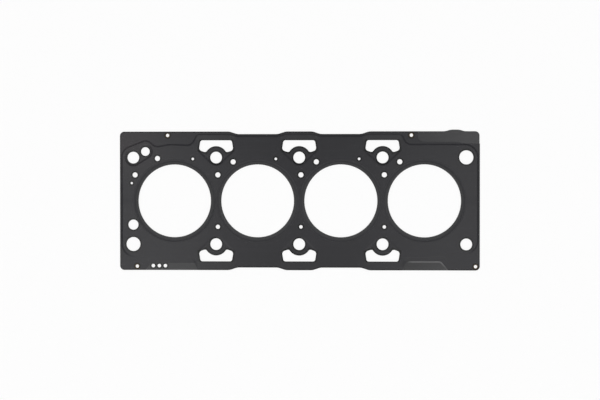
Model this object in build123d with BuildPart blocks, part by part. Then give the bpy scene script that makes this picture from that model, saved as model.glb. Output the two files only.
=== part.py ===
from build123d import *
import os
from math import asin, atan, atan2, cos, degrees, hypot

# A cylinder head gasket of stacked steel sheets for a four-cylinder in-line engine, lying flat.
# X runs along the row of bores, Y across it, and Z is up. Sizes are millimetres.
# The origin is the centre of the bore row, on the plane that the gasket rests on.
# Pairs in brackets are offsets in X and Y. Unless said otherwise they start at the centre of
# the bolt hole that a feature belongs to, and on the lower row their Y counts towards the bores.

# Bores and bolt holes
bore_count = 4
bore_dia = 84.0
bore_web = 12.0
bolt_row_beyond_bore = 8.0
bolt_hole_dia = 13.5
dowel_hole_dia = 16.2

# Sheets
active_thickness = 0.25
carrier_thickness = 0.50
bead_height = 0.20
hidden_sheet_end_step = 0.4

# Outline
end_margin = 15.5
side_margin = 30.0
corner_radius = 5.0
shoulder_half_width = 15.5
shoulder_foot = 9.0
shoulder_radius = 14.0
waist_depth = 3.0
tab_height = 1.9
tab_from_column = 13.0
tab_half_width = 5.0
tab_foot = 6.0
tab_radius = 16.0

# Slot beyond each inner bolt hole
slot_far_corner = (18.15, 19.9)
slot_widest_corner = (19.95, 8.6)
slot_lobe_corner = (13.7, 6.45)
slot_corner_radii = (2.8, 3.8, 2.5)
slot_cusp_radius = 2.0
slot_bolt_wall = 6.4

# Full bead pressed round each bore
bore_bead_land = 2.7
bore_bead_width = 2.6
bore_bead_depth = 0.15

# Half bead where the sheet steps down from its raised field to its margin
step_run = 1.8
step_inset = 3.3
step_end_inset = 2.3
step_waist_depth = 2.2
upper_span_step = 14.8
lower_span_step = 14.5
lower_end_step = 10.7
step_corner_radius = 15.0
step_shoulder_radius = 5.0
step_shoulder_offsets = (21.7, 27.6)
step_foot_radius = 9.0
port_step_rise = 9.1
port_step_corners = ((16.0, 20.5), (25.6, 11.85), (42.0, 15.2))
port_step_radii = (12.0, 8.6, 10.0, 30.0)
port_step_end = (-28.6, 13.9)
lower_end_step_corners = ((-24.0, 10.7), (-40.0, 14.5))

# Half bead round each inner bolt hole, which ends in the slot
island_slot_corner = (16.0, 15.5)
island_side_corner = (20.6, 7.7)
island_bolt_radius = 8.6
island_corner_radius = 3.0

# Half bead round the left end's bolt hole and the oil port beside it
port_island_bolt_radius = 9.3
port_island_port_radius = 7.8

# Round holes for oil, coolant and vapour
oil_port = (14.0, 7.0)
oil_port_dia = 10.0
coolant_hole_dia = 5.9
end_coolant_holes = ((28.0, -1.0), (2.0, -20.0))
end_vent = (-1.9, -29.5)
end_vent_dia = 2.7
drain_hole = (0.0, 22.45)
drain_hole_dia = 11.7
web_coolant_holes = ((2.0, -20.0), (19.75, -5.0))
web_vent = (-27.0, -1.6)
web_vent_dia = 3.0
web_lower_hole = (2.0, 20.0)
web_lower_dias = (4.9, 4.0, 4.0)

# Thickness-grade holes along the lower edge, the first measured from the left column
grade_hole_dia = 4.1
grade_hole_pitch = 7.0
grade_hole_count = 3
grade_hole_from_column = 23.0
grade_hole_from_edge = 5.0

# Places where the upper sheet is cut back and the carrier shows, measured from the nearest columns
grade_window_ends = (20.0, 25.0)
grade_window_slants = (6.0, 4.0)
grade_window_depth = 8.3
grade_window_radius = 1.5
label_window_ends = (28.0, 29.0)
label_window_slants = (6.0, 9.0)
label_window_depth = 10.6
label_window_radius = 6.0
tab_window_end = 40.3
tab_window_depths = (12.2, 14.2)
tab_window_dip_ends = (9.0, 2.0)
tab_window_radius = 7.0
cut_overrun = 4.0

# Stopper rings on the carrier round the bores
stopper_thickness = 0.12
stopper_width = 1.4

# Hollow rivets, measured from the nearest columns
rivet_bore_dia = 3.9
rivet_wall = 0.35
rivet_flange_dia = 6.0
rivet_flange_thickness = 0.14
rivet_clearance = 0.05
rivet_from_edge = 4.4
upper_rivet_offsets = (39.8, 33.0)
lower_rivet_offsets = (4.4, 10.7)

# Values worked out from the sizes above
bore_radius = bore_dia / 2
bore_pitch = bore_dia + bore_web
columns = [(i - bore_count / 2) * bore_pitch for i in range(bore_count + 1)]
left_column, *inner_columns, right_column = columns
bore_centres = [((a + b) / 2, 0) for a, b in zip(columns, columns[1:])]
waist_centres = [x for x, y in bore_centres[1:-1]]
bolt_row = bore_radius + bolt_row_beyond_bore
half_length = right_column + end_margin
half_width = bolt_row + side_margin

carrier_bottom = active_thickness + bead_height
carrier_top = carrier_bottom + carrier_thickness

dowel_holes = [(left_column, -bolt_row), (right_column, bolt_row)]
corner_bolt_holes = [(left_column, bolt_row), (right_column, -bolt_row)]
upper_inner_holes = [(x, bolt_row) for x in inner_columns]
lower_inner_holes = [(x, -bolt_row) for x in inner_columns]
rivet_row = half_width - rivet_from_edge
rivet_centres = [
    (left_column + upper_rivet_offsets[0], rivet_row),
    (inner_columns[-1] + upper_rivet_offsets[1], rivet_row),
    (left_column + lower_rivet_offsets[0], -rivet_row),
    (right_column + lower_rivet_offsets[1], -rivet_row),
]


def from_upper_hole(column, offsets):
    """Points given from the upper bolt hole of a column."""
    return [(column + x, bolt_row + y) for x, y in offsets]


def from_lower_hole(column, offsets):
    """Points given from the lower bolt hole of a column, with Y counted towards the bores."""
    return [(column + x, y - bolt_row) for x, y in offsets]


def fluid_holes():
    """Centre and diameter of each round hole for oil, coolant or vapour."""
    holes = [(p, oil_port_dia) for p in from_upper_hole(left_column, [oil_port])]
    holes += [(p, coolant_hole_dia) for p in from_upper_hole(left_column, end_coolant_holes)]
    holes += [(p, end_vent_dia) for p in from_upper_hole(left_column, [end_vent])]
    holes += [(p, drain_hole_dia) for p in from_lower_hole(left_column, [drain_hole])]
    for column, lower_dia in zip(inner_columns, web_lower_dias):
        holes += [(p, coolant_hole_dia) for p in from_upper_hole(column, web_coolant_holes)]
        holes += [(p, web_vent_dia) for p in from_upper_hole(column, [web_vent])]
        holes += [(p, lower_dia) for p in from_lower_hole(column, [web_lower_hole])]
    return holes


def grade_holes():
    """Centre and diameter of each thickness-grade hole."""
    first, row = left_column + grade_hole_from_column, grade_hole_from_edge - half_width
    return [((first + i * grade_hole_pitch, row), grade_hole_dia) for i in range(grade_hole_count)]


def waisted_edge(height, depth):
    """Corners of a long edge from left to right, stepping in at each waist between inner columns."""
    reach = bore_pitch / 2 - shoulder_half_width
    points = []
    for x in waist_centres:
        points += [(x - reach, height), (x - reach + shoulder_foot, height - depth)]
        points += [(x + reach - shoulder_foot, height - depth), (x + reach, height)]
    return points


def filleted(corners, radii):
    """A closed face from its corners and one radius for each."""
    with BuildSketch() as shape:
        with BuildLine():
            FilletPolyline(*corners, radius=radii, close=True)
        make_face()
    return shape.sketch


def outline(end_step, with_tab):
    """A sheet's outer shape, with or without the tab on its upper edge."""
    end = half_length - end_step
    upper = waisted_edge(half_width, waist_depth)
    upper_radii = [shoulder_radius] * len(upper)
    lower, lower_radii = [(x, -y) for x, y in upper[::-1]], upper_radii
    if with_tab:
        tab_x, tip = right_column - tab_from_column, half_width + tab_height
        half_foot = tab_half_width + tab_foot
        upper = upper + [(tab_x - half_foot, half_width), (tab_x - tab_half_width, tip)]
        upper += [(tab_x + tab_half_width, tip), (tab_x + half_foot, half_width)]
        upper_radii = upper_radii + [tab_radius] * 4
    corners = [(-end, half_width), *upper, (end, half_width)]
    corners += [(end, -half_width), *lower, (-end, -half_width)]
    radii = [corner_radius, *upper_radii, corner_radius]
    radii += [corner_radius, *lower_radii, corner_radius]
    return filleted(corners, radii)


def slot():
    """One slot above a bolt hole at the origin. Its near side bends round the hole."""
    half = [slot_far_corner, slot_widest_corner, slot_lobe_corner]
    corners = half + [(-x, y) for x, y in half[::-1]]
    radii = slot_corner_radii + slot_corner_radii[::-1]
    with BuildSketch() as shape:
        add(filleted(corners, radii))
        Circle(bolt_hole_dia / 2 + slot_bolt_wall, mode=Mode.SUBTRACT)
        cusps = shape.vertices().sort_by(Axis.Y)[:4].sort_by(Axis.X)[1:3]
        fillet(cusps, radius=slot_cusp_radius)
    return shape.sketch


def sheet_plan(end_step, with_tab, round_holes):
    """A flat sheet's plan, with every opening in it."""
    opening = slot()
    with BuildSketch() as shape:
        add(outline(end_step, with_tab))
        with Locations(*bore_centres):
            Circle(bore_radius, mode=Mode.SUBTRACT)
        with Locations(*corner_bolt_holes, *upper_inner_holes, *lower_inner_holes):
            Circle(bolt_hole_dia / 2, mode=Mode.SUBTRACT)
        with Locations(*dowel_holes):
            Circle(dowel_hole_dia / 2, mode=Mode.SUBTRACT)
        with Locations(*rivet_centres):
            Circle(rivet_bore_dia / 2 + rivet_wall + rivet_clearance, mode=Mode.SUBTRACT)
        with Locations(*upper_inner_holes):
            add(opening, mode=Mode.SUBTRACT)
        with Locations(*lower_inner_holes):
            add(opening, rotation=180, mode=Mode.SUBTRACT)
        for centre, dia in round_holes:
            with Locations(centre):
                Circle(dia / 2, mode=Mode.SUBTRACT)
    return shape.sketch


def field_plan():
    """The raised field, out to the middle of the half bead along its edge."""
    side = half_length - step_end_inset
    near, far = step_shoulder_offsets
    first, last = inner_columns[0], inner_columns[-1]
    top, span = half_width - step_inset, bolt_row + upper_span_step
    crown = waisted_edge(top, step_waist_depth)
    crown_radii = [shoulder_radius] * len(crown)
    corners = [(-side, bolt_row + port_step_rise)]
    corners += from_upper_hole(left_column, port_step_corners)
    corners += from_upper_hole(first, [port_step_end])
    radii = [*port_step_radii, step_foot_radius]
    corners += [(first - near, top), *crown, (last + near, top)]
    radii += [step_shoulder_radius, *crown_radii, step_shoulder_radius]
    corners += [(last + far, span), (side, span)]
    radii += [step_foot_radius, step_corner_radius]
    base = bolt_row + lower_span_step
    corners += [(side, -bolt_row - lower_end_step)]
    corners += [(right_column + x, -bolt_row - y) for x, y in lower_end_step_corners]
    radii += [step_corner_radius, step_corner_radius, step_corner_radius]
    corners += [(last + far, -base), (last + near, -top)]
    corners += [(x, -y) for x, y in crown[::-1]]
    corners += [(first - near, -top), (first - far, -base), (-side, -base)]
    radii += [step_foot_radius, step_shoulder_radius, *crown_radii]
    radii += [step_shoulder_radius, step_foot_radius, step_corner_radius]
    return filleted(corners, radii)


def island_plan():
    """The low island round a bolt hole at the origin, out to the middle of its half bead.

    Its near side is two tangents to a circle round the hole, which meet at a point below it.
    Its far side lies within the slot.
    """
    x, y = island_side_corner
    slope = atan2(y, x) + asin(island_bolt_radius / hypot(x, y))
    point = (0, -island_bolt_radius / cos(slope))
    far_x, far_y = island_slot_corner
    corners = [(-far_x, far_y), (far_x, far_y), (x, y), point, (-x, y)]
    radii = [island_corner_radius] * 3 + [island_bolt_radius, island_corner_radius]
    return filleted(corners, radii)


def port_island_plan():
    """The low island round a bolt hole at the origin and the oil port, as the last one."""
    with BuildSketch() as shape:
        Circle(port_island_bolt_radius)
        with Locations(oil_port):
            Circle(port_island_port_radius)
        make_hull(mode=Mode.REPLACE)
    return shape.sketch


field = field_plan()
step_angle = degrees(atan(step_run / bead_height))

# The press tool's form: the height of a pressed sheet's underside above its margin
with BuildPart() as bore_groove:
    with BuildSketch(Plane.XZ):
        inner = bore_radius + bore_bead_land
        middle, outer = inner + bore_bead_width / 2, inner + bore_bead_width
        Polygon(
            (inner, bead_height),
            (outer, bead_height),
            (middle, bead_height - bore_bead_depth),
            align=None,
        )
    revolve(axis=Axis.Z)

with BuildPart() as island_pit:
    with BuildSketch(Plane.XY.offset(bead_height)):
        add(island_plan())
        offset(amount=step_run / 2)
    extrude(amount=-bead_height, taper=step_angle)

with BuildPart() as port_pit:
    with BuildSketch(Plane.XY.offset(bead_height)):
        add(port_island_plan())
        offset(amount=step_run / 2)
    extrude(amount=-bead_height, taper=step_angle)

with BuildPart() as press_form:
    with BuildSketch():
        add(field)
        offset(amount=step_run / 2)
    extrude(amount=bead_height, taper=step_angle)
    with Locations(*bore_centres):
        add(bore_groove.part, mode=Mode.SUBTRACT)
    with Locations((left_column, bolt_row)):
        add(port_pit.part, mode=Mode.SUBTRACT)
    with Locations(*upper_inner_holes):
        add(island_pit.part, mode=Mode.SUBTRACT)
    with Locations(*lower_inner_holes):
        add(island_pit.part, rotation=(0, 0, 180), mode=Mode.SUBTRACT)


# An active sheet of even thickness before its openings are cut, its margin's underside at zero
with BuildPart() as pressed_blank:
    with BuildSketch():
        add(outline(0, with_tab=False))
    extrude(amount=active_thickness)
    with Locations((0, 0, active_thickness)):
        add(press_form.part)
    add(press_form.part, mode=Mode.SUBTRACT)


def pressed_sheet(plan):
    """The pressed blank cut to a plan."""
    with BuildPart() as pressed:
        add(pressed_blank.part)
        with BuildSketch():
            add(plan)
        extrude(amount=active_thickness + bead_height, mode=Mode.INTERSECT)
    return pressed.part


def edge_window(left, right, slants, depth, radius):
    """A cut-back in the lower edge, between the X places of its inner corners, with slanted sides."""
    low, high = -half_width - cut_overrun, depth - half_width
    left_foot, right_foot = [x * (1 + cut_overrun / depth) for x in slants]
    corners = [(left - left_foot, low), (left, high), (right, high), (right + right_foot, low)]
    return filleted(corners, [0, radius, radius, 0])


def tab_window():
    """The cut-back along the upper edge from the last inner column to the right end."""
    left, high = inner_columns[-1] + tab_window_end, half_width + tab_height + cut_overrun
    span, low = [half_width - y for y in tab_window_depths]
    dip_start, dip_end = [right_column - x for x in tab_window_dip_ends]
    far = half_length + cut_overrun
    corners = [(left, high), (left, span), (dip_start, span), (dip_end, low), (far, low), (far, high)]
    radii = [0, tab_window_radius, tab_window_radius, tab_window_radius, 0, 0]
    return filleted(corners, radii)


with BuildPart() as upper_layer:
    with Locations((0, 0, carrier_top)):
        add(pressed_sheet(sheet_plan(0, False, fluid_holes())))
    with BuildSketch(Plane.XY.offset(carrier_top)):
        add(tab_window())
        grade_left, grade_right = grade_window_ends
        add(
            edge_window(
                left_column + grade_left,
                inner_columns[0] - grade_right,
                grade_window_slants,
                grade_window_depth,
                grade_window_radius,
            )
        )
        label_left, label_right = label_window_ends
        add(
            edge_window(
                inner_columns[-1] + label_left,
                right_column - label_right,
                label_window_slants,
                label_window_depth,
                label_window_radius,
            )
        )
    extrude(amount=active_thickness + bead_height, mode=Mode.SUBTRACT)

with BuildPart() as carrier_layer:
    with BuildSketch(Plane.XY.offset(carrier_bottom)):
        add(sheet_plan(hidden_sheet_end_step, True, fluid_holes() + grade_holes()))
    extrude(amount=carrier_thickness)

with BuildPart() as lower_layer:
    with Locations((0, 0, -carrier_bottom)):
        add(pressed_sheet(sheet_plan(hidden_sheet_end_step, False, fluid_holes() + grade_holes())))
    mirror(about=Plane.XY, mode=Mode.REPLACE)

with BuildPart() as stopper_ring:
    with BuildSketch(Plane.XY.offset(carrier_top)):
        Circle(bore_radius + stopper_width)
        Circle(bore_radius, mode=Mode.SUBTRACT)
    extrude(amount=stopper_thickness)

# A hollow rivet: a barrel through the margins of the three sheets, turned over into two flanges
with BuildPart() as rivet:
    with BuildSketch(Plane.XZ):
        grip = carrier_thickness + 2 * active_thickness
        rivet_radius = rivet_bore_dia / 2
        with Locations((rivet_radius, carrier_bottom - active_thickness)):
            Rectangle(rivet_wall, grip, align=(Align.MIN, Align.MIN))
            with Locations((0, grip), (0, -rivet_flange_thickness)):
                Rectangle(
                    rivet_flange_dia / 2 - rivet_radius,
                    rivet_flange_thickness,
                    align=(Align.MIN, Align.MIN),
                )
    revolve(axis=Axis.Z)
    ends = rivet.faces().sort_by(Axis.Z)
    mouths = [ends[i].edges().sort_by(SortBy.LENGTH)[0] for i in (0, -1)]
    chamfer(mouths, length=rivet_flange_thickness)

os.makedirs("parts", exist_ok=True)
upper_layer.part.label = "upper_layer"
export_step(upper_layer.part, "parts/upper_layer.step")
carrier_layer.part.label = "carrier_layer"
export_step(carrier_layer.part, "parts/carrier_layer.step")
lower_layer.part.label = "lower_layer"
export_step(lower_layer.part, "parts/lower_layer.step")

for i, centre in enumerate(bore_centres, start=1):
    with BuildPart() as placed_stopper:
        with Locations(centre):
            add(stopper_ring.part)
    placed_stopper.part.label = f"stopper_ring_{i}"
    export_step(placed_stopper.part, f"parts/stopper_ring_{i}.step")

for i, centre in enumerate(rivet_centres, start=1):
    with BuildPart() as placed_rivet:
        with Locations(centre):
            add(rivet.part)
    placed_rivet.part.label = f"rivet_{i}"
    export_step(placed_rivet.part, f"parts/rivet_{i}.step")
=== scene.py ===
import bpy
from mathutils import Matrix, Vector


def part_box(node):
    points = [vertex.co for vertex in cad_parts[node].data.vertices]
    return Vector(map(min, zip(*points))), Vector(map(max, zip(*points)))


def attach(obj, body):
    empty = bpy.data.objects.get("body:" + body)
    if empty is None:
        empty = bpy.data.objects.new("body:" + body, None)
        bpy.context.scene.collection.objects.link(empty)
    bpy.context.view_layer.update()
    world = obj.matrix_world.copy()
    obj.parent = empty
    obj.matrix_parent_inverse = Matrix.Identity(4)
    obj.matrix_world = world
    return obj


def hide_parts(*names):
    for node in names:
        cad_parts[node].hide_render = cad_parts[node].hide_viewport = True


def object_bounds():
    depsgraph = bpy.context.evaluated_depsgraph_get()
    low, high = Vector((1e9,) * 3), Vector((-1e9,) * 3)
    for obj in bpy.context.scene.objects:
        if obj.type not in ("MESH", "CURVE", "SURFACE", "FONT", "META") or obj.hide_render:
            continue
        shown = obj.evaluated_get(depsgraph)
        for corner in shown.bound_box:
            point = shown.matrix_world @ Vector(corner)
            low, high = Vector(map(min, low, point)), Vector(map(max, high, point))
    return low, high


bl_info = {
    "name": "Layered head gasket",
    "version": (1, 0, 0),
    "blender": (4, 5, 0),
    "location": "View3D > Sidebar > Head gasket",
    "description": "Dresses a stacked steel cylinder head gasket and lays out its studio",
    "category": "Object",
}

from math import cos, hypot, pi, radians, sin

import bpy
from bpy.props import FloatProperty, FloatVectorProperty, IntProperty, PointerProperty
from bpy.types import Operator, Panel, PropertyGroup

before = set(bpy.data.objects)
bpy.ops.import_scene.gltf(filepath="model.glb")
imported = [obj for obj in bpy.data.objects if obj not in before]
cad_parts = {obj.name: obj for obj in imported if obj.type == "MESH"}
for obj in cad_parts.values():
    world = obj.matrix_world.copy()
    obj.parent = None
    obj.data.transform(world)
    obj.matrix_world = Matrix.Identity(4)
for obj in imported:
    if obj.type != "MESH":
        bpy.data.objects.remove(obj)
cad_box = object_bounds()

RINGS = [name for name in sorted(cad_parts) if name.startswith("stopper_ring")]
RIVETS = [name for name in sorted(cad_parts) if name.startswith("rivet")]
MILLIMETRE = 0.001


def mm(*lengths):
    """Lengths in millimetres as metres."""
    return tuple(length * MILLIMETRE for length in lengths)


# The plan, as the solids have it. A slot's corners are those of its right half, from its bolt.
BOLT_PITCH = 96.0 * MILLIMETRE
BOLT_ROW = 50.0 * MILLIMETRE
SLOT_ARC = 13.15 * MILLIMETRE
SLOT_CORNERS = (mm(18.15, 19.9), mm(19.95, 8.6), mm(13.7, 6.45))
SLOT_COLUMNS_END = 1.5 * BOLT_PITCH
WAIST_DEPTH = 3.0 * MILLIMETRE
WAIST_SHOULDER = mm(14.0, 26.0)
CUT_BACK_TOP = -69.4 * MILLIMETRE
CUT_BACK_CORNER = 163.0 * MILLIMETRE
CUT_BACK_SLANT = (9.0, 10.6)
STOPPER_WIDTH = 1.4 * MILLIMETRE

# A rivet. Its edge and lip are shares of the flange: in from the rim or out from the bore, and up.
RIVET_BORE = 1.95 * MILLIMETRE
RIVET_WALL = 0.35 * MILLIMETRE
RIVET_FLANGE = 0.14 * MILLIMETRE
RIVET_EDGE = ((0.0, 0.0), (0.0, 0.45), (0.35, 0.85), (1.0, 1.0))
RIVET_LIP = ((1.2, 1.0), (0.6, 0.85), (0.15, 0.45), (0.0, -0.2))

# Round walls in a sheet's mesh: a steep face is a wall, and a large or uneven ring is no small hole
WALL_SLOPE = 0.5
LARGEST_HOLE = 10.0 * MILLIMETRE
ROUNDNESS = 1.05

# Noise: features a metre, detail, and for the streaks how far they are drawn out along the length
CLOUDS = (14.0, 3.0)
GRAIN = (1500.0, 3.0)
FLECKS = (620.0, 1.0)
STREAKS = (420.0, 2.0, (0.04, 1.0, 1.0))
GRINDING = (900.0, 3.0)
TARNISH = (700.0, 3.0)
DENTS = (2500.0, 2.0)
FLECK_RISE = (0.70, 0.78)
STREAK_RISE = (0.45, 0.75)
TARNISH_RISE = (0.35, 0.70)

# Tones, as shares of a finish's own colour
DEEP_TONE = 0.55
PALE_TONE = 1.45
FLECK_TONE = 2.2
STREAK_TONE = 1.6
# The edge tone is painted shade, which darkens the coating beside the cut edges
EDGE_SHADE_TONE = 0.05
GROUND_TONE = 0.85
# The carrier's tones are painted shade and painted light: its darkest and its palest
CARRIER_SHADE_AND_LIGHT_TONES = (0.75, 1.15)

# Roughness and relief
GRAIN_ROUGHNESS = 0.10
CLOUD_ROUGHNESS = 0.06
SHIM_ROUGHNESS = 0.28
GRINDING_ROUGHNESS = 0.12
TARNISH_ROUGHNESS = 0.15
PEEL_STRENGTH = 0.35
DENT_DEPTH = 0.02 * MILLIMETRE
DENT_STRENGTH = 0.4

# The sheared walls, and how wide the painted shade is beside them
WALL_RISE = (0.7, 0.5)
WALL_METAL = 0.9
EDGE_SHADE_CORE = 0.2
EDGE_SHADE_SCALE = 1.4
FAR_SLOT_SHADE = 0.25

# Marks on the coating. A pair of lengths is where a mark is gone and where it is whole.
BEAD_FADE = mm(6.5, 5.0)
THIN_CORNER = mm(-205.0, 78.0)
THIN_FADE = mm(75.0, 5.0)
LAND_FADE = mm(3.4, 2.4)
LAND_SHARE = 0.95
RAIL_ENDS = mm(24.0, 20.0)
RAIL_LAST = (1.5 * BOLT_PITCH, 1.4 * BOLT_PITCH)
LOWER_RAIL = 0.35
UPPER_RAIL = 0.75

# The painted highlights of the ripples at the lower right cut-back: across them, then along X and Y
RIPPLE_PITCH = 1.35 * MILLIMETRE
RIPPLE_CREST = mm(0.9, 1.35)
RIPPLE_FIRST = mm(0.8, 1.6)
RIPPLE_LAST = mm(7.0, 5.4)
RIPPLE_LEFT = mm(112.0, 124.0)
RIPPLE_RIGHT = mm(180.0, 168.0)
RIPPLE_TOP = mm(-56.0, -60.0)
RIPPLE_LIFT = 2.0 * MILLIMETRE
RIPPLE_LIFT_ALONG = mm(140.0, 170.0)
RIPPLE_HIGHLIGHT_SHARE = 0.95

# The carrier's painted shade and light along X, and the fades of its painted highlight strip
CARRIER_TURN = 115.0 * MILLIMETRE
CARRIER_RIGHT = 205.0 * MILLIMETRE
CARRIER_SHADE_LEAN = 0.6
HIGHLIGHT_EDGE = (1.3, 0.8)
HIGHLIGHT_LEFT = mm(122.0, 131.0)
HIGHLIGHT_TOP = mm(-66.0, -69.0)
HIGHLIGHT_FOOT = mm(-79.0, -71.0)
HIGHLIGHT_FOOT_SHARE = 0.25

# The studio: lengths in metres, turns in degrees, and each top box's share of their brightness
COVE_SIDES, COVE_STEPS = 96, 16
FLOOR_GAP = 0.02 * MILLIMETRE
TOP_BOX_HEIGHT = 1.80
TOP_BOXES = {
    "top_box_left": ((-0.465, -0.375), (0.39, 1.15), 1.0),
    "top_box_middle": ((-0.05, -0.375), (0.44, 1.15), 0.38),
    "top_box_right": ((0.37, -0.375), (0.40, 1.15), 0.83),
    "top_box_front": ((-0.045, -0.65), (1.23, 0.6), 0.86),
}
SIDE_BOXES = {
    "side_box_left": ((-1.9, 0.0, 1.05), (0.0, -61.0, 0.0), (1.7, 2.4)),
    "side_box_right": ((1.9, 0.0, 1.05), (0.0, 61.0, 0.0), (1.7, 2.4)),
    "side_box_near": ((0.0, -1.9, 1.05), (61.0, 0.0, 0.0), (2.4, 1.7)),
    "side_box_far": ((0.0, 1.9, 1.05), (-61.0, 0.0, 0.0), (2.4, 1.7)),
}
CAMERA_PLACE = (0.061588, 0.024344, 1.729164)
CAMERA_TURN = (-0.7741, 2.0104, -0.0154)
SENSOR_WIDTH = 36.0
WHITE = (1.0, 1.0, 1.0, 1.0)


def middle_of(node):
    """The centre of a CAD node's box."""
    low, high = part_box(node)
    return (low + high) / 2


def size_of(node):
    """The lengths of a CAD node's box."""
    low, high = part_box(node)
    return high - low


def round_holes(node):
    """The place and radius of each small round hole of a sheet, from the walls in its mesh.

    Wall corners that share a face are joined, so each hole becomes one ring of spots.
    """
    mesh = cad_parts[node].data
    joined = {}

    def root(spot):
        while joined[spot] != spot:
            spot = joined[spot]
        return spot

    for face in mesh.polygons:
        if abs(face.normal.z) < WALL_SLOPE:
            spots = [tuple(round(c, 6) for c in mesh.vertices[i].co.xy) for i in face.vertices]
            for spot in spots:
                joined.setdefault(spot, spot)
                joined[root(spot)] = root(spots[0])
    walls = {}
    for spot in joined:
        walls.setdefault(root(spot), []).append(spot)
    holes = []
    for spots in walls.values():
        x, y = [sum(values) / len(spots) for values in zip(*spots)]
        reaches = [hypot(a - x, b - y) for a, b in spots]
        if max(reaches) < min(min(reaches) * ROUNDNESS, LARGEST_HOLE):
            holes.append((x, y, max(reaches)))
    return sorted(holes)


# Node trees


class Wire:
    """A shader socket that does arithmetic: an expression on wires adds the Math nodes it needs."""

    def __init__(self, tree, socket):
        self.tree = tree
        self.socket = socket

    def _maths(self, operation, first, second):
        settings = {"operation": operation}
        return self.tree.add("ShaderNodeMath", settings, {0: first, 1: second}).out(0)

    def __add__(self, other):
        return self._maths("ADD", self, other)

    __radd__ = __add__

    def __sub__(self, other):
        return self._maths("SUBTRACT", self, other)

    def __rsub__(self, other):
        return self._maths("SUBTRACT", other, self)

    def __mul__(self, other):
        return self._maths("MULTIPLY", self, other)

    __rmul__ = __mul__

    def __abs__(self):
        return self._maths("ABSOLUTE", self, 0.0)

    def least(self, other):
        """The smaller of this and another value."""
        return self._maths("MINIMUM", self, other)

    def most(self, other):
        """The larger of this and another value."""
        return self._maths("MAXIMUM", self, other)

    def fold(self, span):
        """This value reflected to and fro between 0 and a span."""
        return self._maths("PINGPONG", self, span)

    def beside(self, other):
        """The length of a right triangle's long side, from this and another value."""
        return self._maths("POWER", self * self + other * other, 0.5)

    def rise(self, start, end):
        """A smooth step from 0 at start to 1 at end, and end may be the lower of the two."""
        settings = {"interpolation_type": "SMOOTHSTEP", "clamp": True}
        values = {"Value": self, "From Min": start, "From Max": end}
        return self.tree.add("ShaderNodeMapRange", settings, values).out(0)


class Added:
    """A node that was just added, with its outputs as wires."""

    def __init__(self, tree, node):
        self.tree = tree
        self.node = node

    def out(self, name):
        return Wire(self.tree, self.node.outputs[name])


class NodeTree:
    """A node tree under construction."""

    def __init__(self, tree):
        self.tree = tree
        self.tree.nodes.clear()

    def add(self, kind, settings=None, sockets=None):
        """Adds a node, makes its settings, then fills its sockets with values or links."""
        node = self.tree.nodes.new(kind)
        for key, value in (settings or {}).items():
            setattr(node, key, value)
        for key, value in (sockets or {}).items():
            if isinstance(value, Wire):
                self.tree.links.new(value.socket, node.inputs[key])
            else:
                node.inputs[key].default_value = value
        return Added(self, node)

    def mix_colours(self, share, first, second, blend="MIX"):
        """A blend of two colours by a share that is a wire or a number."""
        settings = {"data_type": "RGBA", "blend_type": blend}
        sockets = {0: share, 6: first, 7: second}
        return self.add("ShaderNodeMix", settings, sockets).out(2)


def colour(value, tone=1.0):
    """A linear colour with its alpha, made darker or paler by a tone."""
    return (*[part * tone for part in value[:3]], 1.0)


# Finishes


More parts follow.
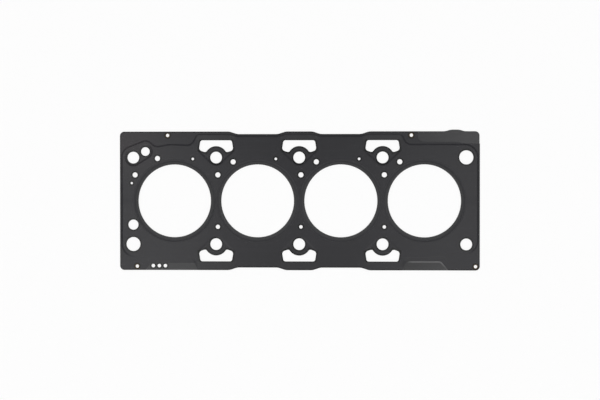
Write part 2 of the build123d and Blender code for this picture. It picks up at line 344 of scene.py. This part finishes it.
class Finish(NodeTree):
    """A material with a Principled surface, in the object's own coordinates."""

    def __init__(self, name):
        self.material = bpy.data.materials.new(name)
        self.material.use_nodes = True
        super().__init__(self.material.node_tree)
        self.place = self.add("ShaderNodeTexCoord").out("Object")
        parts = self.add("ShaderNodeSeparateXYZ", sockets={0: self.place})
        self.x, self.y = parts.out("X"), parts.out("Y")

    def noise(self, scale, detail=2.0, stretch=(1.0, 1.0, 1.0)):
        """Soft noise about 0.5, of scale features a metre, drawn out where stretch is low."""
        sockets = {"Vector": self.place, "Scale": stretch}
        place = self.add("ShaderNodeMapping", sockets=sockets).out(0)
        sockets = {"Vector": place, "Scale": scale, "Detail": detail}
        return self.add("ShaderNodeTexNoise", sockets=sockets).out("Fac")

    def cut_edge(self):
        """1 on the sheared walls of a sheet and 0 on its faces."""
        normal = self.add("ShaderNodeNewGeometry").out("Normal")
        upright = abs(self.add("ShaderNodeSeparateXYZ", sockets={0: normal}).out("Z"))
        return upright.rise(*WALL_RISE)

    def past_bore(self):
        """The distance out from the wall of the nearest bore."""
        half_pitch = (middle_of(RINGS[1]).x - middle_of(RINGS[0]).x) / 2
        radius = size_of(RINGS[0]).x / 2 - STOPPER_WIDTH
        row = half_pitch * len(RINGS)
        along = half_pitch - self.x.most(-row).least(row).fold(half_pitch)
        return along.beside(self.y) - radius

    def past_holes(self, node):
        """The distance out from the wall of the nearest small round hole of a sheet."""
        plan = self.add("ShaderNodeCombineXYZ", sockets={"X": self.x, "Y": self.y}).out(0)
        nearest = None
        for x, y, radius in round_holes(node):
            sockets = {0: plan, 1: (x, y, 0.0)}
            reach = self.add("ShaderNodeVectorMath", {"operation": "DISTANCE"}, sockets)
            past = reach.out("Value") - radius
            nearest = past if nearest is None else nearest.least(past)
        return nearest

    def past_slots(self):
        """The distance out from the wall of the nearest slot. Each inner column has two slots."""
        out, up = self.x.fold(BOLT_PITCH / 2), abs(self.y) - BOLT_ROW
        past = SLOT_ARC - out.beside(up)
        corners = [(-SLOT_CORNERS[0][0], SLOT_CORNERS[0][1]), *SLOT_CORNERS]
        for (x0, y0), (x1, y1) in zip(corners, corners[1:]):
            length = hypot(x1 - x0, y1 - y0)
            across, along = (y0 - y1) / length, (x1 - x0) / length
            past = past.most(out * across + up * along - (x0 * across + y0 * along))
        beyond = abs(self.x).rise(SLOT_COLUMNS_END, SLOT_COLUMNS_END + MILLIMETRE)
        return past + beyond * BOLT_PITCH

    def beyond_slots(self):
        """1 on the rails between the slots' far sides and the long edges, and 0 elsewhere."""
        far = SLOT_CORNERS[0][1]
        return (abs(self.y) - BOLT_ROW).rise(far - MILLIMETRE / 2, far + MILLIMETRE / 2)

    def inside_edge(self):
        """The distance in from a sheet's outer edge with its waists, raised for a narrower painted
        shade.
        """
        half_length, half_width = [length / 2 for length in size_of("upper_layer").xy]
        shoulder = self.x.fold(BOLT_PITCH / 2).rise(*WAIST_SHOULDER)
        waist = shoulder * abs(self.x).rise(BOLT_PITCH + MILLIMETRE, BOLT_PITCH) * WAIST_DEPTH
        inward = (half_length - abs(self.x)).least(half_width - abs(self.y) - waist)
        return inward * EDGE_SHADE_SCALE

    def into_cut_back(self):
        """The distance in from the top and the slanting side of the lower right cut-back."""
        run, drop = CUT_BACK_SLANT
        below = CUT_BACK_TOP - self.y
        beside = ((CUT_BACK_CORNER - self.x) * drop + below * run) * (1 / hypot(run, drop))
        return below.least(beside)

    def thin_corner(self):
        """1 at the upper left corner and 0 far from it."""
        x, y = THIN_CORNER
        return (self.x - x).beside(self.y - y).rise(*THIN_FADE)

    def rails(self):
        """The worn share of the rails between the slots and the long edges, more on the upper."""
        rail = self.beyond_slots() * self.x.fold(BOLT_PITCH / 2).rise(*RAIL_ENDS)
        rail = rail * abs(self.x).rise(*RAIL_LAST)
        return rail * (self.y.rise(-BOLT_ROW, BOLT_ROW) * (UPPER_RAIL - LOWER_RAIL) + LOWER_RAIL)

    def ripples(self):
        """Painted highlight on faint crests along the lower right cut-back, which lift away from it
        to the right.
        """
        lift = self.x.rise(*RIPPLE_LIFT_ALONG) * RIPPLE_LIFT
        outward = self.into_cut_back() * -1.0 - lift
        crest = outward.fold(RIPPLE_PITCH).rise(*RIPPLE_CREST)
        crest = crest * outward.rise(*RIPPLE_FIRST) * outward.rise(*RIPPLE_LAST)
        crest = crest * self.x.rise(*RIPPLE_LEFT) * self.x.rise(*RIPPLE_RIGHT)
        return crest * self.y.rise(*RIPPLE_TOP)

    def painted_highlight_strip(self, width):
        """1 on a painted highlight strip in the lower right cut-back, which fades down its slanting
        side.
        """
        strip = self.into_cut_back().rise(*[width * share for share in HIGHLIGHT_EDGE])
        strip = strip * self.x.rise(*HIGHLIGHT_LEFT) * self.y.rise(*HIGHLIGHT_TOP)
        foot = self.y.rise(*HIGHLIGHT_FOOT) * (1.0 - HIGHLIGHT_FOOT_SHARE) + HIGHLIGHT_FOOT_SHARE
        return strip * foot

    def bump(self, height, distance, strength):
        """A normal bent by a height that runs from 0 to 1 over a distance in metres."""
        sockets = {"Height": height, "Distance": distance, "Strength": strength}
        return self.add("ShaderNodeBump", sockets=sockets).out(0)

    def surface(self, constants, **varying):
        """Ends the tree in a Principled surface with constant sockets and linked ones."""
        sockets = dict(constants)
        sockets.update({key.replace("_", " "): value for key, value in varying.items()})
        shader = self.add("ShaderNodeBsdfPrincipled", sockets=sockets).out(0)
        self.add("ShaderNodeOutputMaterial", sockets={"Surface": shader})
        return self.material


def coated_steel(name, look, base, inside, paint):
    """Elastomer-coated sheet: mottled dark grey faces, pale flecks and streaks, bare walls in
    painted shade.

    What inside gives is a spot's distance from the cut edges, near which the colour is darkened as
    painted shade.
    What paint does is change the coating's colour from place to place, in part as painted light and
    shade.
    """
    made = Finish(name)
    cloud, grain = made.noise(*CLOUDS), made.noise(*GRAIN)
    tone = (cloud - 0.5) * look.mottle + (grain - 0.5) * look.grain + 0.5
    deep, pale = colour(base, DEEP_TONE), colour(base, PALE_TONE)
    face = made.mix_colours(tone.most(0.0).least(1.0), deep, pale)
    fleck = made.noise(*FLECKS).rise(*FLECK_RISE)
    face = made.mix_colours(fleck * look.flecks, face, colour(base, FLECK_TONE))
    streak = made.noise(*STREAKS).rise(*STREAK_RISE)
    face = made.mix_colours(streak * look.streaks, face, colour(base, STREAK_TONE))
    face = paint(made, face)
    # Painted shade: the colour darkens towards the cut edges of holes, slots and the outline
    edge_shade = inside(made).rise(look.edge_shade_width, look.edge_shade_width * EDGE_SHADE_CORE)
    face = made.mix_colours(edge_shade * look.edge_shade_strength, face, colour(base, EDGE_SHADE_TONE))
    # Bare steel on the sheared walls, its colour kept dark as painted shade
    bare = made.cut_edge()
    rough = look.roughness + (grain - 0.5) * GRAIN_ROUGHNESS + (cloud - 0.5) * CLOUD_ROUGHNESS
    rough = rough + made.past_bore().rise(*BEAD_FADE) * look.bead_dulling
    return made.surface(
        {"IOR": look.ior, "Specular IOR Level": look.gloss},
        Base_Color=made.mix_colours(bare, face, colour(look.steel)),
        Metallic=bare * WALL_METAL,
        Roughness=rough,
        Normal=made.bump(grain, look.peel * MILLIMETRE, PEEL_STRENGTH),
    )


def steel_shim(name, look):
    """Bare stainless shim, finely mottled by its grinding marks."""
    made = Finish(name)
    marks = made.noise(*GRINDING)
    return made.surface(
        {"Metallic": 1.0},
        Base_Color=made.mix_colours(marks, colour(look.colour, GROUND_TONE), colour(look.colour)),
        Roughness=SHIM_ROUGHNESS + marks * GRINDING_ROUGHNESS,
    )


def dull_brass(name, look):
    """Rolled brass gone dull and brown in patches."""
    made = Finish(name)
    patches = made.noise(*TARNISH).rise(*TARNISH_RISE)
    return made.surface(
        {"Metallic": 1.0},
        Base_Color=made.mix_colours(patches, colour(look.colour), colour(look.tarnish)),
        Roughness=look.roughness + patches * TARNISH_ROUGHNESS,
        Normal=made.bump(made.noise(*DENTS), DENT_DEPTH, DENT_STRENGTH),
    )


def white_sweep(name, look):
    """The studio floor: plain white to the eye and in reflections, with a share of real shadow."""
    made = Finish(name)
    rays = made.add("ShaderNodeLightPath")
    seen = rays.out("Is Camera Ray").most(rays.out("Is Glossy Ray"))
    seen = seen.most(rays.out("Is Transmission Ray"))
    matte = made.add("ShaderNodeBsdfDiffuse", sockets={"Color": colour(look.floor_colour)}).out(0)
    glow = made.add("ShaderNodeEmission", sockets={"Color": WHITE, "Strength": 1.0}).out(0)
    sockets = {0: seen * look.floor_glow, 1: matte, 2: glow}
    both = made.add("ShaderNodeMixShader", sockets=sockets).out(0)
    made.add("ShaderNodeOutputMaterial", sockets={"Surface": both})
    return made.material


def dress(node, material):
    """Gives a CAD node one material, in its object's own slot."""
    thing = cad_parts[node]
    thing.material_slots[0].link = "OBJECT"
    thing.material_slots[0].material = material


# Geometry Nodes


class Pattern(NodeTree):
    """A Geometry Nodes tree with named inputs, which ends in real geometry with one material."""

    SOCKETS = {"FLOAT": "NodeSocketFloat", "INT": "NodeSocketInt", "VECTOR": "NodeSocketVector"}

    def __init__(self, name, inputs):
        group = bpy.data.node_groups.new(name, "GeometryNodeTree")
        super().__init__(group)
        group.interface.new_socket("Geometry", in_out="INPUT", socket_type="NodeSocketGeometry")
        for label, kind in inputs.items():
            group.interface.new_socket(label, in_out="INPUT", socket_type=self.SOCKETS[kind])
        group.interface.new_socket("Material", in_out="INPUT", socket_type="NodeSocketMaterial")
        group.interface.new_socket("Geometry", in_out="OUTPUT", socket_type="NodeSocketGeometry")
        self.start = self.add("NodeGroupInput")

    def end(self, geometry):
        """Realizes the instances, sets the material and leaves the tree."""
        real = self.add("GeometryNodeRealizeInstances", sockets={0: geometry}).out(0)
        sockets = {0: real, "Material": self.start.out("Material")}
        done = self.add("GeometryNodeSetMaterial", sockets=sockets).out(0)
        self.add("NodeGroupOutput", sockets={0: done})

    def make(self, name, mesh, values):
        """Runs the tree on a mesh with values for its inputs, and returns the plain mesh object."""
        holder = bpy.data.objects.new(name + "_pattern", mesh)
        bpy.context.scene.collection.objects.link(holder)
        modifier = holder.modifiers.new("Pattern", "NODES")
        modifier.node_group = self.tree
        for item in self.tree.interface.items_tree:
            if item.in_out == "INPUT" and item.name in values:
                modifier[item.identifier] = values[item.name]
        bpy.context.view_layer.update()
        shape = bpy.data.meshes.new_from_object(
            holder.evaluated_get(bpy.context.evaluated_depsgraph_get())
        )
        shape.name = name
        holder.modifiers.remove(modifier)
        bpy.data.objects.remove(holder)
        piece = bpy.data.objects.new(name, shape)
        bpy.context.scene.collection.objects.link(piece)
        return piece


def centre_inputs(nodes):
    """The named inputs that place a piece at the middle of each of its CAD nodes."""
    return {f"Centre {i}": tuple(middle_of(node)) for i, node in enumerate(nodes, start=1)}


def turned_rings(name, centres):
    """A tree that turns its input profile round an upright axis and repeats it at named centres."""
    inputs = {"Radius": "FLOAT", "Facets": "INT"}
    inputs.update({centre: "VECTOR" for centre in centres})
    tree = Pattern(name, inputs)
    profile = tree.add("GeometryNodeMeshToCurve", sockets={0: tree.start.out("Geometry")}).out(0)
    path = tree.add(
        "GeometryNodeCurvePrimitiveCircle",
        sockets={"Resolution": tree.start.out("Facets"), "Radius": tree.start.out("Radius")},
    ).out(0)
    upright = tree.add("GeometryNodeSetCurveNormal", {"mode": "Z_UP"}, {0: path}).out(0)
    ring = tree.add("GeometryNodeCurveToMesh", sockets={0: upright, 1: profile}).out(0)
    points = tree.add("GeometryNodeJoinGeometry")
    for centre in centres:
        sockets = {"Count": 1, "Position": tree.start.out(centre)}
        point = tree.add("GeometryNodePoints", sockets=sockets).out(0)
        tree.tree.links.new(point.socket, points.node.inputs[0])
    sockets = {"Points": points.out(0), "Instance": ring}
    tree.end(tree.add("GeometryNodeInstanceOnPoints", sockets=sockets).out(0))
    return tree


def profile_mesh(name, corners):
    """A closed line of corners for a turned ring: X is out from the circle and Y is up."""
    mesh = bpy.data.meshes.new(name)
    edges = [(i, (i + 1) % len(corners)) for i in range(len(corners))]
    mesh.from_pydata([(x, y, 0.0) for x, y in corners], edges, [])
    return mesh


# Settings that a user would change


class CoatingSettings(PropertyGroup):
    """The rubber coating of the three sheets"""

    active_colour: FloatVectorProperty(
        name="Active sheets",
        description="Colour of the coating on the upper and lower sheets",
        subtype="COLOR",
        default=(0.0225, 0.0223, 0.0255),
    )
    carrier_colour: FloatVectorProperty(
        name="Carrier",
        description="Colour of the coating on the middle sheet",
        subtype="COLOR",
        default=(0.045, 0.045, 0.047),
    )
    thin_colour: FloatVectorProperty(
        name="Thin coating",
        description="Colour where the coating is thin, at the upper left corner",
        subtype="COLOR",
        default=(0.034, 0.031, 0.034),
    )
    # Worn coating round the bores and on the rails, and painted highlight on the ripples
    worn_and_ripple_highlight_colour: FloatVectorProperty(
        name="Worn coating",
        description="Colour round the bores, along the rails beyond the slots and on the ripples",
        subtype="COLOR",
        default=(0.0325, 0.0328, 0.0345),
    )
    # Painted highlight: the pale strip along the top and slanting side of the lower right cut-back
    highlight_strip_colour: FloatVectorProperty(
        name="Strip",
        description="Colour of the pale strip inside the lower right cut-back",
        subtype="COLOR",
        default=(0.12, 0.12, 0.122),
    )
    # Bare steel of the sheared walls, darkened as painted shade
    steel: FloatVectorProperty(
        name="Bare steel",
        description="Colour of the sheared walls, which have no coating",
        subtype="COLOR",
        default=(0.12, 0.12, 0.12),
    )
    roughness: FloatProperty(
        name="Roughness",
        description="How dull the coating is",
        subtype="FACTOR",
        default=0.20,
        min=0.0,
        max=1.0,
    )
    gloss: FloatProperty(
        name="Gloss",
        description="Strength of the coating's reflection",
        subtype="FACTOR",
        default=0.5,
        min=0.0,
        max=1.0,
    )
    ior: FloatProperty(
        name="Refractive index",
        description="Refractive index of the coating",
        default=1.5,
        min=1.0,
        max=3.0,
    )
    mottle: FloatProperty(
        name="Mottle",
        description="Share of slow change in tone across a sheet",
        subtype="FACTOR",
        default=0.25,
        min=0.0,
        max=2.0,
    )
    grain: FloatProperty(
        name="Grain",
        description="Share of fine change in tone",
        subtype="FACTOR",
        default=0.30,
        min=0.0,
        max=2.0,
    )
    streaks: FloatProperty(
        name="Streaks",
        description="Strength of the rolling streaks along the sheets",
        subtype="FACTOR",
        default=0.12,
        min=0.0,
        max=1.0,
    )
    flecks: FloatProperty(
        name="Flecks",
        description="Strength of the pale flecks in the coating",
        subtype="FACTOR",
        default=0.25,
        min=0.0,
        max=1.0,
    )
    peel: FloatProperty(
        name="Peel",
        description="Height of the coating's skin texture, in millimetres",
        default=0.01,
        min=0.0,
        max=0.1,
    )
    bead_dulling: FloatProperty(
        name="Bead dulling",
        description="Roughness that pressing adds to the coating on the beads round the bores",
        subtype="FACTOR",
        default=0.15,
        min=0.0,
        max=1.0,
    )
    # How far the painted shade beside the cut edges reaches, and how dark it is
    edge_shade_width: FloatProperty(
        name="Rim width",
        description="How far the darker rim reaches in from a cut edge",
        subtype="DISTANCE",
        unit="LENGTH",
        default=2.6 * MILLIMETRE,
        min=0.0,
    )
    edge_shade_strength: FloatProperty(
        name="Rim shade",
        description="How dark the rim is",
        subtype="FACTOR",
        default=1.0,
        min=0.0,
        max=1.0,
    )
    # Width of the painted highlight inside the lower right cut-back
    highlight_strip_width: FloatProperty(
        name="Strip width",
        description="Width of the pale strip inside the lower right cut-back",
        subtype="DISTANCE",
        unit="LENGTH",
        default=1.5 * MILLIMETRE,
        min=0.0,
    )


class RivetSettings(PropertyGroup):
    """The hollow rivets"""

    colour: FloatVectorProperty(
        name="Brass",
        description="Colour of the rivets",
        subtype="COLOR",
        default=(0.10, 0.066, 0.026),
    )
    tarnish: FloatVectorProperty(
        name="Tarnish",
        description="Colour of the dull patches",
        subtype="COLOR",
        default=(0.05, 0.034, 0.016),
    )
    roughness: FloatProperty(
        name="Roughness",
        description="How dull the rivets are",
        subtype="FACTOR",
        default=0.38,
        min=0.0,
        max=1.0,
    )
    facets: IntProperty(
        name="Facets", description="Facets round a rivet", default=96, min=12, max=256
    )


class StopperSettings(PropertyGroup):
    """The stopper rings"""

    colour: FloatVectorProperty(
        name="Shim",
        description="Colour of the stopper rings",
        subtype="COLOR",
        default=(0.52, 0.52, 0.50),
    )
    facets: IntProperty(
        name="Facets", description="Facets round a ring", default=192, min=24, max=512
    )


class StageSettings(PropertyGroup):
    """The floor, the lamps and the camera"""

    floor_colour: FloatVectorProperty(
        name="Floor",
        description="Colour of the floor",
        subtype="COLOR",
        default=(0.96, 0.96, 0.96),
    )
    floor_glow: FloatProperty(
        name="Floor glow",
        description="Share of the floor that shows as plain white",
        subtype="FACTOR",
        default=0.88,
        min=0.0,
        max=1.0,
    )
    cove_reach: FloatProperty(
        name="Cove reach",
        description="Distance from the gasket to the white wall",
        subtype="DISTANCE",
        unit="LENGTH",
        default=6.0,
        min=1.0,
    )
    cove_foot: FloatProperty(
        name="Cove foot",
        description="Radius of the curve between floor and wall",
        subtype="DISTANCE",
        unit="LENGTH",
        default=2.5,
        min=0.1,
    )
    cove_height: FloatProperty(
        name="Cove height",
        description="Height of the white wall",
        subtype="DISTANCE",
        unit="LENGTH",
        default=4.5,
        min=0.1,
    )
    room: FloatProperty(
        name="Room light",
        description="Strength of the even light from above the cove",
        default=0.13,
        min=0.0,
    )
    top_box: FloatProperty(
        name="Top boxes",
        description="Brightness of the soft boxes above the camera",
        default=1.05,
        min=0.0,
    )
    side_box: FloatProperty(
        name="Side boxes",
        description="Brightness of the soft boxes at the sides",
        default=1.45,
        min=0.0,
    )
    lens: FloatProperty(
        name="Lens",
        description="Focal length of the camera",
        subtype="DISTANCE_CAMERA",
        unit="CAMERA",
        default=90.0,
        min=1.0,
    )


class GasketSettings(PropertyGroup):
    """All the settings of the gasket"""

    coating: PointerProperty(type=CoatingSettings)
    rivets: PointerProperty(type=RivetSettings)
    stoppers: PointerProperty(type=StopperSettings)
    stage: PointerProperty(type=StageSettings)


# Operators


class GASKET_OT_active_sheets(Operator):
    """Coat the upper and lower sheets"""

    bl_idname = "gasket.active_sheets"
    bl_label = "Active sheets"

    def execute(self, context):
        look = context.scene.gasket.coating

        # The distance that places the painted shade beside holes, slots and the outline
        def inside(made):
            slots = made.past_slots() + made.beyond_slots() * (FAR_SLOT_SHADE * look.edge_shade_width)
            return made.past_holes("upper_layer").least(slots).least(made.inside_edge())

        def paint(made, face):
            # Worn coating round the bores and on the rails; on the ripples this colour is painted
            # highlight
            worn = colour(look.worn_and_ripple_highlight_colour)
            face = made.mix_colours(made.thin_corner(), face, colour(look.thin_colour))
            land = made.past_bore().rise(*LAND_FADE)
            face = made.mix_colours(land * LAND_SHARE, face, worn)
            face = made.mix_colours(made.rails(), face, worn)
            # The ripples' painted highlight
            return made.mix_colours(made.ripples() * RIPPLE_HIGHLIGHT_SHARE, face, worn)

        coating = coated_steel("active_coating", look, look.active_colour, inside, paint)
        for node in ("upper_layer", "lower_layer"):
            dress(node, coating)
        return {"FINISHED"}


class GASKET_OT_carrier_sheet(Operator):
    """Coat the middle sheet with painted shade and light along X, and a painted highlight at its
    lower right cut-back
    """

    bl_idname = "gasket.carrier_sheet"
    bl_label = "Carrier sheet"

    def execute(self, context):
        look = context.scene.gasket.coating

        def inside(made):
            return made.past_holes("carrier_layer")

        def paint(made, face):
            # Painted shade and light along X: even on the left, darkest at the turn, palest at the
            # right end
            pale = CARRIER_SHADE_LEAN - made.x.rise(0.0, CARRIER_TURN) * CARRIER_SHADE_LEAN
            pale = pale + made.x.rise(CARRIER_TURN, CARRIER_RIGHT)
            shade_and_light_tones = [colour((1.0, 1.0, 1.0), tone) for tone in CARRIER_SHADE_AND_LIGHT_TONES]
            face = made.mix_colours(1.0, face, made.mix_colours(pale, *shade_and_light_tones), "MULTIPLY")
            # Painted highlight along the top and slanting side of the lower right cut-back
            strip = made.painted_highlight_strip(look.highlight_strip_width)
            return made.mix_colours(strip, face, colour(look.highlight_strip_colour))

        coating = coated_steel("carrier_coating", look, look.carrier_colour, inside, paint)
        dress("carrier_layer", coating)
        return {"FINISHED"}


class GASKET_OT_stopper_rings(Operator):
    """Repeat a finely faceted stopper ring round every bore"""

    bl_idname = "gasket.stopper_rings"
    bl_label = "Stopper rings"

    def execute(self, context):
        look = context.scene.gasket.stoppers
        size = size_of(RINGS[0])
        half = size.z / 2
        corners = [(0.0, -half), (STOPPER_WIDTH, -half), (STOPPER_WIDTH, half), (0.0, half)]
        centres = centre_inputs(RINGS)
        values = {
            "Radius": size.x / 2 - STOPPER_WIDTH,
            "Facets": look.facets,
            "Material": steel_shim("shim_steel", look),
            **centres,
        }
        tree = turned_rings("stopper_rings", centres)
        piece = tree.make("stopper_rings", profile_mesh("stopper_profile", corners), values)
        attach(piece, "root")
        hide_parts(*RINGS)
        return {"FINISHED"}


class GASKET_OT_rivets(Operator):
    """Repeat a rolled hollow rivet at its places along the margins"""

    bl_idname = "gasket.rivets"
    bl_label = "Hollow rivets"

    def execute(self, context):
        look = context.scene.gasket.rivets
        size = size_of(RIVETS[0])
        reach, half = size.x / 2 - RIVET_BORE, size.z / 2
        grip = half - RIVET_FLANGE
        edge = [(reach - RIVET_FLANGE * x, grip + RIVET_FLANGE * y) for x, y in RIVET_EDGE]
        lip = [(RIVET_FLANGE * x, grip + RIVET_FLANGE * y) for x, y in RIVET_LIP]
        upper = [(RIVET_WALL, grip), *edge, *lip]
        corners = upper + [(x, -y) for x, y in upper[::-1]]
        centres = centre_inputs(RIVETS)
        values = {
            "Radius": RIVET_BORE,
            "Facets": look.facets,
            "Material": dull_brass("dull_brass", look),
            **centres,
        }
        tree = turned_rings("rivets", centres)
        piece = tree.make("rivets", profile_mesh("rivet_profile", corners), values)
        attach(piece, "root")
        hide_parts(*RIVETS)
        return {"FINISHED"}


class GASKET_OT_stage(Operator):
    """Lay the white floor and set the lamps and the camera"""

    bl_idname = "gasket.stage"
    bl_label = "Stage"

    def execute(self, context):
        look = context.scene.gasket.stage
        self.lay_cove(look)
        self.light_room(look)
        self.hang_lamps(look)
        self.set_camera(look)
        return {"FINISHED"}

    def lay_cove(self, look):
        """A round floor that curves up into a wall on every side."""
        foot, reach, top = look.cove_foot, look.cove_reach, look.cove_height
        turns = [pi / 2 * i / COVE_STEPS for i in range(COVE_STEPS + 1)]
        profile = [(reach - foot + foot * sin(a), foot - foot * cos(a)) for a in turns]
        profile.append((reach, top))
        level = cad_box[0][2] - FLOOR_GAP
        angles = [2 * pi * i / COVE_SIDES for i in range(COVE_SIDES)]
        points, faces = [(0.0, 0.0, level)], []
        for out, up in profile:
            points += [(out * cos(a), out * sin(a), level + up) for a in angles]
        for i in range(COVE_SIDES):
            j = (i + 1) % COVE_SIDES
            faces.append((0, 1 + i, 1 + j))
            for ring in range(len(profile) - 1):
                low, high = 1 + ring * COVE_SIDES, 1 + (ring + 1) * COVE_SIDES
                faces.append((low + i, high + i, high + j, low + j))
        mesh = bpy.data.meshes.new("cove")
        mesh.from_pydata(points, [], faces)
        mesh.shade_smooth()
        cove = bpy.data.objects.new("cove", mesh)
        bpy.context.scene.collection.objects.link(cove)
        mesh.materials.append(white_sweep("white_sweep", look))

    def light_room(self, look):
        """An even dim grey over the cove."""
        world = bpy.data.worlds.new("studio_room")
        world.use_nodes = True
        tree = NodeTree(world.node_tree)
        sockets = {"Color": WHITE, "Strength": look.room}
        even = tree.add("ShaderNodeBackground", sockets=sockets).out(0)
        tree.add("ShaderNodeOutputWorld", sockets={"Surface": even})
        bpy.context.scene.world = world

    def hang_lamps(self, look):
        """Flat boxes overhead, which the sheets mirror, and even boxes on the four sides."""
        for name, ((x, y), size, share) in TOP_BOXES.items():
            place = (x, y, TOP_BOX_HEIGHT)
            self.hang_box(name, place, (0.0, 0.0, 0.0), size, look.top_box * share)
        for name, (place, turn, size) in SIDE_BOXES.items():
            self.hang_box(name, place, turn, size, look.side_box)

    def hang_box(self, name, place, turn, size, brightness):
        """A soft box whose face has a brightness, where 1 is white."""
        light = bpy.data.lights.new(name, "AREA")
        light.shape = "RECTANGLE"
        light.size, light.size_y = size
        light.energy = brightness * pi * size[0] * size[1]
        lamp = bpy.data.objects.new(name, light)
        lamp.location = place
        lamp.rotation_euler = [radians(angle) for angle in turn]
        lamp.visible_camera = False
        bpy.context.scene.collection.objects.link(lamp)

    def set_camera(self, look):
        """The photograph's view, almost straight down."""
        data = bpy.data.cameras.new("camera")
        data.sensor_width = SENSOR_WIDTH
        data.lens = look.lens
        camera = bpy.data.objects.new("camera", data)
        camera.location = CAMERA_PLACE
        camera.rotation_euler = [radians(angle) for angle in CAMERA_TURN]
        bpy.context.scene.collection.objects.link(camera)
        bpy.context.scene.camera = camera
        bpy.context.scene.view_settings.view_transform = "Standard"


# Panel and registration


class GASKET_PT_panel(Panel):
    """Sizes, colours and steps of the gasket"""

    bl_idname = "GASKET_PT_panel"
    bl_label = "Head gasket"
    bl_space_type = "VIEW_3D"
    bl_region_type = "UI"
    bl_category = "Head gasket"

    def draw(self, context):
        settings = context.scene.gasket
        for step in STEPS:
            self.layout.operator(step.bl_idname)
        for group in (settings.coating, settings.rivets, settings.stoppers, settings.stage):
            box = self.layout.box()
            for name in type(group).__annotations__:
                box.prop(group, name)


STEPS = (
    GASKET_OT_active_sheets,
    GASKET_OT_carrier_sheet,
    GASKET_OT_stopper_rings,
    GASKET_OT_rivets,
    GASKET_OT_stage,
)
CLASSES = (
    CoatingSettings,
    RivetSettings,
    StopperSettings,
    StageSettings,
    GasketSettings,
    *STEPS,
    GASKET_PT_panel,
)


def register():
    for item in CLASSES:
        bpy.utils.register_class(item)
    bpy.types.Scene.gasket = PointerProperty(type=GasketSettings)


def unregister():
    del bpy.types.Scene.gasket
    for item in reversed(CLASSES):
        bpy.utils.unregister_class(item)


def main():
    register()
    bpy.ops.gasket.active_sheets()
    bpy.ops.gasket.carrier_sheet()
    bpy.ops.gasket.stopper_rings()
    bpy.ops.gasket.rivets()
    bpy.ops.gasket.stage()


if __name__ == "__main__":
    main()
